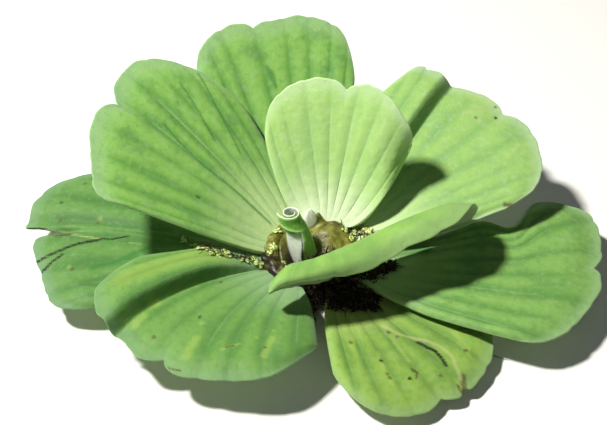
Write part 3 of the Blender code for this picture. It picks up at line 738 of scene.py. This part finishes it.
# a hair 1 long, curved, thin and three-sided
HAIR_BEND = 0.28
HAIR_WIDTH = 0.035
height = np.linspace(0, 0.9, 3)
hair_path = np.stack([HAIR_BEND * height**2, 0 * height, height], axis=-1)
hair = skin("hair", tube_rings(hair_path, HAIR_WIDTH * (1 - 0.7 * height), 3), (0, 0, -0.02), (HAIR_BEND, 0, 1))
print("hair:", len(hair.data.polygons), "faces")

# %% [markdown]
# ## The crown
# The crown is a stem so short that all leaves seem to start at one point. It is olive brown, wet and lumpy:
# a round boss beside the young leaf, a dark hollow at its left, and the torn sheath of an old leaf round that.
# It could be sculpted. Here an outline is turned round the middle, and rounded swellings are added to it, so
# each lump is a row of numbers that can be set beside the real one.

# %% Lumps on a skin
def read_points(obj):
    points = np.empty(len(obj.data.vertices) * 3, np.float32)
    obj.data.vertices.foreach_get("co", points)
    return points.reshape(-1, 3).astype(float)


def write_points(obj, points):
    obj.data.vertices.foreach_set("co", np.asarray(points, np.float32).ravel())
    obj.data.update()


def unevenness(points, size, seed):
    """From -1 to 1, with lumps of about the size given in metres."""
    return np.array([noise.noise(Vector(p) / size + Vector((seed, 0, 0))) for p in points])


def lumps(points, *kinds):
    """How far each point is raised by lumps, given as height, size and seed."""
    return sum(height * unevenness(points, size, seed) for height, size, seed in kinds)


# %% The crown's body
CROWN_PROFILE_MM = (
    (0.5, 0), (8, 0), (15, 0), (20.5, 5), (23.3, 12), (23.5, 18), (22, 21.8), (18.5, 22.3), (13, 20), (7, 18.4),
    (1, 18),
)
CROWN_RINGS = 60
CROWN_SIDES = 120
SWELLINGS = (  # on the top of the crown: x, y, size along x, size along y and height, in mm
    (3, 9, 10, 10, 9), (-13, -6, 7, 8, -6), (-1, 20, 3, 3, 8), (9, 18, 4, 3, 3), (-23, 6, 5, 14, 5),
)

outline = np.array(CROWN_PROFILE_MM, float) * MM
travelled = np.concatenate([[0], np.cumsum(np.linalg.norm(np.diff(outline, axis=0), axis=1))])
steps = np.linspace(0, travelled[-1], CROWN_RINGS)
reach, level = [np.interp(steps, travelled, outline[:, k])[:, None] for k in (0, 1)]
turn = np.linspace(0, 2 * pi, CROWN_SIDES, endpoint=False)
rings = np.stack([reach * np.cos(turn), reach * np.sin(turn), level * np.ones(CROWN_SIDES)], axis=-1)
crown = skin("crown_body", rings, (0, 0, 0), (0, 0, outline[-1, 1]))
points = read_points(crown)
on_top = smooth((points[:, 2] - 0.016) / 0.003)
off_table = smooth(points[:, 2] / 0.004)
outwards = points[:, :2] / (np.linalg.norm(points[:, :2], axis=1, keepdims=True) + 1e-6)
swell = lumps(points, (0.0016, 0.007, 1.0), (0.0007, 0.0025, 5.0))
points[:, :2] += (outwards.T * swell * off_table * (1 - on_top)).T
hollow = np.zeros(len(points))
for x, y, size_x, size_y, height in SWELLINGS:
    near = bump_at(points[:, 0], points[:, 1], x * MM, y * MM, size_x * MM, size_y * MM)
    points[:, 2] += height * MM * near * on_top
    hollow = np.maximum(hollow, near * (height < 0))
points[:, 2] += swell * on_top * 0.35
write_points(crown, points)
# painted shade: darker down the crown's lower side and in the hollow on its top
lower_side_shade = smooth((0.021 - points[:, 2]) / 0.008)
store_values(crown, dark=np.clip(np.maximum(hollow * 1.2 * on_top, lower_side_shade), 0, 1))
print("crown:", len(crown.data.polygons), "faces")

# %% The old sheath, which wraps the crown on its left
SHEATH_ANGLES = (128, 208)  # degrees, from its rear end round to its front one
SHEATH_RADIUS = 0.0262  # from the middle of the crown
SHEATH_HEIGHT, SHEATH_FALL = 0.0232, 0.0030  # at its rear end, and how much lower its front end is
SHEATH_WIDTH = 0.0052
TUBE_SIDES = 26


def lumpy_tube(name, path, width, flat, *kinds):
    """A closed tube with lumps on it, and its points."""
    made = skin(name, tube_rings(path, width, TUBE_SIDES, flat), path[0], path[-1])
    points = read_points(made)
    away = unit(points[1:-1] - np.repeat(path, TUBE_SIDES, axis=0))
    points[1:-1] += away * lumps(points, *kinds)[1:-1, None]
    write_points(made, points)
    return made, points


share = np.linspace(0, 1, 60)
turn = np.radians(np.linspace(*SHEATH_ANGLES, len(share)))
level = SHEATH_HEIGHT - SHEATH_FALL * share
path = np.stack([SHEATH_RADIUS * np.cos(turn), SHEATH_RADIUS * np.sin(turn), level], axis=-1)
width = SHEATH_WIDTH * np.sin(pi * np.clip(share, 0.03, 0.97)) ** 0.4
sheath, points = lumpy_tube("crown_old_sheath", path, width, 0.75, (0.0011, 0.006, 9.0), (0.0004, 0.0015, 3.0))
# painted shade: darker towards its lower edge
store_values(sheath, dark=np.clip(0.1 + smooth((0.022 - points[:, 2]) / 0.006), 0, 1))
print("sheath:", len(sheath.data.polygons), "faces")

# %% The blackened stump of a leaf, at the front left
STUMP_MM = ((-31, 1, 21), (-29, -6, 21), (-25, -12, 21), (-20, -18, 20), (-14, -22, 19), (-8, -24, 18))
STUMP_WIDTH_MM = (1.5, 4.0, 4.8, 4.6, 4.4, 2.0)

share = np.linspace(0, 1, 40)
knots = np.linspace(0, 1, len(STUMP_MM))
path = np.stack([np.interp(share, knots, [p[k] for p in STUMP_MM]) for k in range(3)], axis=-1) * MM
width = np.interp(share, knots, STUMP_WIDTH_MM) * MM
stump, points = lumpy_tube("crown_stump", path, width, 0.7, (0.0016, 0.004, 2.0), (0.0007, 0.0015, 7.0))
store_values(stump, dark=0.45 + 0.55 * (unevenness(points, 0.005, 3.0) > -0.1))
print("stump:", len(stump.data.polygons), "faces")

# %% [markdown]
# The crown is wet living tissue with a thin dead skin, like the neck of an onion: smooth to the touch, so it
# glistens, and olive green where it is alive. In the hollow on its top and down its lower side it turns nearly
# black, which is painted shade. Its tones could be painted point by point. Noise gives the blotches, and one
# value at the points, "dark", says where it is darkened: painted shade on the crown and the old sheath, and
# blackened patches on the stump.

# %% Finish of the crown
def crown_finish():
    made, tree, shader = new_material("wet olive stem tissue", {"Specular IOR Level": 0.5})
    place = add(tree, "TexCoord")["Object"]
    blotches, fine = [  # about 4 mm and 1 mm across
        add(tree, "TexNoise", {"Vector": place, "Scale": scale, "Detail": detail})["Fac"]
        for scale, detail in ((220.0, 5.0), (900.0, 3.0))
    ]
    olives = ((0.30, "#3E3A10"), (0.50, "#6A6820"), (0.70, "#8F9146"))
    olive = add(tree, "ValToRGB", {"Fac": blotches}, ramp=olives)["Color"]
    # towards nearly black where "dark" says: painted shade on crown and sheath, blackened patches on the stump
    dark = add(tree, "Attribute", attribute_name="dark")["Fac"]
    depth = add(tree, "Math", {0: dark, 1: fine}, operation="ADD")["Value"]
    depth = add(tree, "MapRange", {"Value": depth, "From Min": 0.55, "From Max": 1.25})["Result"]
    put(tree, shader, {
        "Base Color": add(tree, "Mix", {0: depth, 6: olive, 7: linear("#1B130A")}, data_type="RGBA")[2],
        "Roughness": add(tree, "MapRange", {"Value": blotches, "To Min": 0.25, "To Max": 0.6})["Result"],
        "Normal": add(tree, "Bump", {"Height": fine, "Strength": 0.5, "Distance": 0.0006})["Normal"],
    })
    return made


stem_tissue = crown_finish()
take_place(crown, "crown", "crown", finish=stem_tissue)
take_place(sheath, "crown", finish=stem_tissue)
take_place(stump, "crown", finish=stem_tissue)

# %% [markdown]
# ## Old fibres under the crown
# Below its leaves the crown is wrapped in the dark, torn remains of older ones. They could be modelled as
# curves. They are strips of one kind, so one strip is scattered over the side of the crown instead, thickest
# at the front, where the gap between the leaves shows it.

# %% Torn fibres
STRIP_BEND = 0.45
FRONT_AZIMUTH = -72  # degrees

share = np.linspace(0, 0.96, 6)
strip_path = np.stack([STRIP_BEND * share**2, 0.10 * np.sin(4 * share), share], axis=-1)
strip = skin("strip", tube_rings(strip_path, 0.10 * (1 - 0.75 * share), 4, 0.35), (0, 0, -0.03), (0.47, 0, 1))

points = read_points(crown)
azimuth = np.degrees(np.arctan2(points[:, 1], points[:, 0]))
at_front = bump_at(azimuth, 0, FRONT_AZIMUTH, 0, 48, 1)
low = smooth((0.021 - points[:, 2]) / 0.003) * smooth(points[:, 2] / 0.004)
above_table = smooth(points[:, 2] / 0.017)  # the lowest fibres are short, and stay above the table
store_values(crown, where=low * (0.25 + at_front), reach=(0.35 + 0.65 * at_front) * above_table)


def two_toned(name, scale, detail, dark, light, settings):
    """A finish whose tone noise changes, in patches of 1 / scale metres; a tone is its place on the ramp and colour."""
    made, tree, shader = new_material(name, settings)
    place = add(tree, "TexCoord")["Object"]
    patches = add(tree, "TexNoise", {"Vector": place, "Scale": scale, "Detail": detail})["Fac"]
    put(tree, shader, {"Base Color": add(tree, "ValToRGB", {"Fac": patches}, ramp=(dark, light))["Color"]})
    return made


# rotted leaf, damp: nearly black in the mass, with brown ends where it has dried, in patches of 2 mm
dead_fibre = two_toned(
    "dead leaf fibre, dark and damp", 500.0, 4.0, (0.40, "#120D07"), (0.75, "#5B4424"), {"Roughness": 0.55},
)
scattered(
    "crown_fibres", "crown", crown, strip, dead_fibre, density=600000.0, sizes=(0.005, 0.014), lean=1.0, seed=4,
)

# %% [markdown]
# ## The youngest leaf
# A new leaf comes up rolled like a scroll. Its free margin, pale and soft, stands off the roll in a lazy S.
# A flat leaf could be rolled up by a modifier. The roll follows a rule, so it is made from one: each height has
# a radius, an angle where the sheet starts and an angle that it is wound through, and the margin is flared and
# waved on top of that.

# %% The young leaf
YOUNG_FOOT = np.array((-0.0072, 0.0, 0.0150))
YOUNG_TOP = np.array((-0.0165, 0.0040, 0.0460))
YOUNG_RADIUS = (0.0062, 0.0082, 0.0052)  # of the roll at its foot, on the way and at its top
YOUNG_MARGIN = (-100, -60, -178)  # degrees, where the free margin is: at the foot, under the sweep, at the top
YOUNG_SWEEP = (0.72, 0.13)  # how high the margin sweeps across the front, and over what share of the height
YOUNG_END = (258, 365)  # degrees, where the inner end of the sheet is
YOUNG_SHRINK = (0.05, 0.62)  # how much smaller the roll is at its inner end
YOUNG_THICKNESS = 0.0008
YOUNG_FLARE = 0.22  # how far the free margin stands off the roll, as a share of the radius
YOUNG_WAVE = 0.0006
INNER_FLARE = 0.40  # how far the inner end opens, below the sweep
YOUNG_GROOVES = 7


def young_middle(u, w):
    at, spread = YOUNG_SWEEP
    foot, under_sweep, top = YOUNG_MARGIN
    start = foot + (under_sweep - foot) * np.minimum(u / at, 1) + (top - under_sweep) * smooth((u - at) / spread)
    end = YOUNG_END[0] + (YOUNG_END[1] - YOUNG_END[0]) * u**2
    angle = np.radians(start + (end - start) * w)
    near_margin, near_end = np.exp(-w / 0.08), np.exp(-(1 - w) / 0.10)
    radius = along(YOUNG_RADIUS, u) * (1 - (YOUNG_SHRINK[0] + (YOUNG_SHRINK[1] - YOUNG_SHRINK[0]) * u**2) * w)
    radius = radius * (
        1 + YOUNG_FLARE * near_margin * smooth(3 * u) + INNER_FLARE * near_end * smooth((0.8 - u) / 0.4)
    )
    radius = radius + YOUNG_WAVE * np.sin(5 * pi * u) * near_margin + 0.0005 * smooth((u - 0.88) / 0.12)
    level = YOUNG_FOOT + u[..., None] * (YOUNG_TOP - YOUNG_FOOT)
    return level + np.stack([radius * np.cos(angle), radius * np.sin(angle), 0 * u], axis=-1)


u, w = np.meshgrid(np.linspace(0, 1, 71), (1 - np.cos(pi * np.linspace(0, 1, 141))) / 2, indexing="ij")
height = YOUNG_TOP[2] - YOUNG_FOOT[2]
to_margin = np.minimum((1 - u) * height, np.minimum(w, 1 - w) * 2 * pi * YOUNG_RADIUS[0] * 0.8)
inner_end = smooth((w - 0.66) / 0.14) * (1 - smooth((u - 0.60) / 0.12))
young = sheet_piece(
    "leaf_young_sheet", u, w * 2 - 1, young_middle(u, w), to_margin, YOUNG_THICKNESS,
    {"groove": (0.4 + 0.4 * np.cos(2 * pi * YOUNG_GROOVES * w),) * 2, "under": (1.0, inner_end)},
)
take_place(young, "leaf_pale", "leaf_young", finish=leaf_finishes["furled"])

# %% [markdown]
# ## White hairs
# The inside of the young leaf's margin and the small bract that hides the flower are white with hairs. A hair
# system could hold every one. Real hairs are a tenth as thick as these: the fewer, thicker ones give the same
# white fuzz from arm's length, and the scatter tree puts them where they belong.

# %% The bract that hides the flower
SPATHE_AT = np.array((-0.0055, 0.0180, 0.0195))
SPATHE_SIZE = (0.0042, 0.0026, 0.0175)  # half widths and height
SLIT_DEPTH, SLIT_WIDTH = 0.30, 0.35  # share of the half width, and radians

level = np.linspace(0.02, 0.985, 24)[:, None]
turn = np.linspace(0, 2 * pi, 30, endpoint=False)
wide = np.sin(pi * level**0.8) ** 0.7
from_front = (turn[None, :] + pi / 2 + pi) % (2 * pi) - pi
slit = 1 - SLIT_DEPTH * np.exp(-((from_front / SLIT_WIDTH) ** 2)) * smooth((level - 0.3) / 0.4)
rings = np.stack([
    SPATHE_SIZE[0] * wide * np.cos(turn) * slit,
    SPATHE_SIZE[1] * wide * np.sin(turn) * slit,
    SPATHE_SIZE[2] * level * np.ones(len(turn)),
], axis=-1) + SPATHE_AT
bract = skin("spathe_bract", rings, SPATHE_AT, SPATHE_AT + [0, 0, SPATHE_SIZE[2]])
store_values(bract, where=1.0, reach=1.0)

# hairs and down are clear threads: light goes through and round them, so the eye sees a soft white without
# shine, with fainter places about 3 mm apart
DOWN = {
    "Roughness": 0.7, "Sheen Weight": 0.4, "Subsurface Weight": 1.0, "Subsurface Radius": (0.002, 0.002, 0.0015),
    "Subsurface Scale": 1.0,
}
white_hair = two_toned("silvery plant hair", 300.0, 4.0, (0.35, "#F4F8EC"), (0.65, "#FFFFFF"), DOWN)
downy = two_toned("white downy bract", 400.0, 4.0, (0.35, "#EEF4DC"), (0.65, "#FFFFFA"), DOWN)
take_place(bract, "spathe", "spathe", finish=downy)
scattered(
    "spathe_hairs", "spathe", bract, hair, white_hair, density=4500000.0, sizes=(0.0008, 0.0015), lean=0.5, seed=11,
)

# %% Hairs inside the young leaf's margin
HAIRLESS_TOP = 0.62  # above this share of the height, the sheet's inner end bears none

inside = np.zeros(len(young.data.vertices))
way_round = np.zeros(len(young.data.vertices))
for corner, way in zip(young.data.loops, young.data.uv_layers[0].uv):
    way_round[corner.vertex_index] = way.vector[0] * (way.vector[1] < HAIRLESS_TOP)
at_margin = 0.35 + 0.65 * np.exp(-((w - 0.04) / 0.06) ** 2)
inside[:u.size] = ((1 - smooth((u - 0.70) / 0.2)) * at_margin).ravel()
inside[u.size:] = 0.8 * np.interp(way_round[u.size:], (0.74, 0.84), (0, 1))
store_values(young, where=inside, reach=1.0)
scattered(
    "leaf_young_hairs", "leaf_pale", young, hair, white_hair,
    density=14000000.0, sizes=(0.0006, 0.0011), lean=0.6, seed=12,
)

# %% [markdown]
# ## The roots
# Each root is a thread with fine side roots all round it, like a feather, and it lies where its solid lies.
# Every side root could be a curve. They differ only in size and lean, so the thread is a tapering tube, and
# the same tree scatters them over it.

# %% Roots
ROOT_START = 0.0190
ROOT_RADIUS = 0.0034  # with its side roots
ROOT_TAPER = 0.65
ROOT_CORE = 0.0009
ROOTS = ((8, 0.080, 20), (38, 0.095, -15), (66, 0.105, 18), (92, 0.090, -12), (118, 0.110, 15), (144, 0.095, -18),
         (170, 0.105, 12), (196, 0.090, -16), (221, 0.066, 14), (243, 0.046, 10), (262, 0.036, 6), (280, 0.040, -8),
         (304, 0.075, 12), (334, 0.090, -14))  # azimuth, length, and how far it swings to the left, in degrees
ROOT_STEPS = 60
ROOT_SIDES = 10

length_on = np.linspace(0, 0.92, 3)
side_root_path = np.stack([0.35 * length_on**2, 0 * length_on, length_on], axis=-1)
side_root = skin("side_root", tube_rings(side_root_path, (0.05, 0.04, 0.02), 3), (0, 0, -0.02), (0.35, 0, 1))

# root bark, wet and thin: brown with paler stretches 7 mm long, and a soft gloss
wet_root = two_toned(
    "wet feathery root, brown", 150.0, 4.0, (0.35, "#2A1E12"), (0.70, "#6B5434"),
    {"Roughness": 0.5, "Subsurface Weight": 0.1, "Subsurface Radius": (0.001, 0.0006, 0.0003)},
)
for number, (azimuth, length, swing) in enumerate(ROOTS, 1):
    x = np.linspace(0, 1, ROOT_STEPS)
    heading = np.radians(azimuth + swing * np.sin(pi * x))
    way = np.stack([np.cos(heading), np.sin(heading)], axis=-1) * length / (ROOT_STEPS - 1)
    start = ROOT_START * np.array([cos(radians(azimuth)), sin(radians(azimuth))])
    flat = start + np.concatenate([np.zeros((1, 2)), np.cumsum(way[:-1], axis=0)])
    fullness = ROOT_RADIUS * (1 - ROOT_TAPER * x**2)
    wiggle = 0.0006 * np.sin(2 * pi * (7 * x + 0.13 * number)) * (1 - x)
    east, north = flat[:, 0] - np.sin(heading) * wiggle, flat[:, 1] + np.cos(heading) * wiggle
    path = np.stack([east, north, fullness * 0.9], axis=-1)
    core = ROOT_CORE * (1 - 0.7 * x)
    name = f"root_{number:02d}"
    thread = skin(f"{name}_thread", tube_rings(path, core, ROOT_SIDES), path[0], path[-1] + [*way[-1] * 6, 0])
    around = np.repeat(fullness - core, ROOT_SIDES)
    store_values(thread, where=1.0, reach=np.concatenate([around[:1], around, around[-1:]]))
    take_place(thread, "root", name, finish=wet_root)
    scattered(
        f"{name}_side_roots", "root", thread, side_root, wet_root,
        density=2500000.0, sizes=(0.6, 0.98), lean=0.55, seed=20 + number,
    )

# %% [markdown]
# ## Duckweed caught between the leaves
# Tiny floating fronds, with lobes 2 to 4 mm long, have drifted into the middle and stuck there, with crumbs of
# dead leaf. They could be dropped by a physics simulation. A drift is simpler to place as a strip laid from
# above over the piece that carries it, on which the tree scatters the fronds.

# %% One frond: three small lobes in one mesh
LOBES = ((0, 0, 0.40, 0.33), (0.46, 0.16, 0.33, 0.29), (-0.12, 0.50, 0.30, 0.25))  # x, y, length and width
LOBE_SIDES = 9

verts, faces = [], []
turn = np.linspace(0, 2 * pi, LOBE_SIDES, endpoint=False)
for x, y, long, wide in LOBES:
    rings = [
        np.stack([x + long * size * np.cos(turn), y + wide * size * np.sin(turn), level + 0 * turn], axis=-1)
        for size, level in ((1.0, 0.04), (0.7, 0.11))
    ]
    lobe_verts, lobe_faces = skin_of(np.array(rings), (x, y, 0.0), (x, y, 0.13))
    faces += [[len(verts) + corner for corner in face] for face in lobe_faces]
    verts += lobe_verts.tolist()
frond = mesh_object("frond", verts, faces)
print("frond:", len(faces), "faces")

# %% A strip laid over a piece
STEP = 1.0  # mm between the points of a strip


def draped(carrier, start, end, half):
    """A strip laid from above over its carrier; "where" thins it out towards its sides."""
    skin_below = BVHTree.FromPolygons(
        [v.co for v in carrier.data.vertices], [p.vertices for p in carrier.data.polygons],
    )
    start, end = np.array(start, float), np.array(end, float)
    forward = unit(end - start)
    aside = np.array([-forward[1], forward[0]])
    along_steps = np.arange(0, np.linalg.norm(end - start) + STEP, STEP)
    across_steps = np.arange(-half, half + STEP / 2, STEP)
    index, points, faces, fill = {}, [], [], []
    for i, along_it in enumerate(along_steps):
        for k, across_it in enumerate(across_steps):
            x, y = (start + forward * along_it + aside * across_it) * MM
            hit = skin_below.ray_cast(Vector((x, y, 0.2)), Vector((0, 0, -1)))[0]
            if hit is not None:
                index[i, k] = len(points)
                points.append((x, y, hit.z + 0.0002))
                fill.append(1 - (across_it / (half + STEP)) ** 2)
    for i, k in index:
        corners = [(i, k), (i + 1, k), (i + 1, k + 1), (i, k + 1)]
        if all(corner in index for corner in corners):
            faces.append([index[corner] for corner in corners])
    made, fill = mesh_object("drift", points, faces), np.array(fill)
    clumps = (0.6 + 0.6 * unevenness(np.array(points), 0.004, 3.0)).clip(0, 1)
    store_values(made, where=fill * clumps, reach=0.5 + 0.5 * fill)
    return made


# %% Drifts of duckweed
DRIFTS = (  # what carries it, from and to as x and y in mm, half the width in mm, fronds, crumbs, size of crumbs
    ("leaf_front_left_blade", (-65, -12.0), (-28, -10.5), 3.5, 1.1, 5.0, 1.5),
    ("crown_old_sheath", (-24, 15), (-25, -6), 2.8, 1.2, 0.5, 1.0),
    ("leaf_right_back_blade", (15, 19), (31, 7), 6.0, 1.6, 6.0, 1.5),
    ("crown_body", (10, 19), (20, 8), 2.5, 1.2, 2.0, 1.2),
    ("crown_stump", (-30, -2), (-16, -20), 2.5, 0.35, 4.0, 1.2),
    ("leaf_left_blade", (-82, 13), (-62, 4), 3.0, 0.5, 0.8, 1.0),
    # the last two are large dark crumbs on two leaf feet: partly real crumbs, partly a stand-in for shade there
    ("leaf_front_right_blade", (4, -30), (30, -32), 8.0, 0, 9.0, 2.6),
    ("leaf_right_blade", (25, -17), (40, -6), 6.0, 0, 6.0, 2.6),
)
FRONDS = 110000.0  # on a square metre
CRUMBS = 260000.0

# a frond is thin, waxy and full of air: pale yellow-green with greener patches of 2 mm, and small clean highlights
FROND_SKIN = {
    "Roughness": 0.4, "Subsurface Weight": 0.3, "Subsurface Radius": (0.0008, 0.0010, 0.0003), "Subsurface Scale": 1.0,
}
waxy_frond = two_toned(
    "duckweed frond, waxy and pale green", 420.0, 2.0, (0.35, "#8FAE45"), (0.62, "#D9E59A"), FROND_SKIN,
)
for number, (carrier, start, end, half, fronds, crumbs, size) in enumerate(DRIFTS, 1):
    drift = draped(bpy.data.objects[carrier], start, end, half)
    if fronds:
        scattered(
            f"duckweed_{number}", "leaf", drift, frond, waxy_frond,
            density=FRONDS * fronds, sizes=(0.0036, 0.0050), lean=0.12, seed=40 + number,
        )
    scattered(
        f"crumbs_{number}", "crown", drift, strip, dead_fibre,
        density=CRUMBS * crumbs, sizes=(0.0012 * size, 0.0030 * size), lean=1.4, seed=60 + number,
    )
    bpy.data.objects.remove(drift)

# %% Put the scattered shapes away
for shape in (hair, strip, side_root, frond):
    bpy.data.objects.remove(shape)
print("scattered shapes put away")
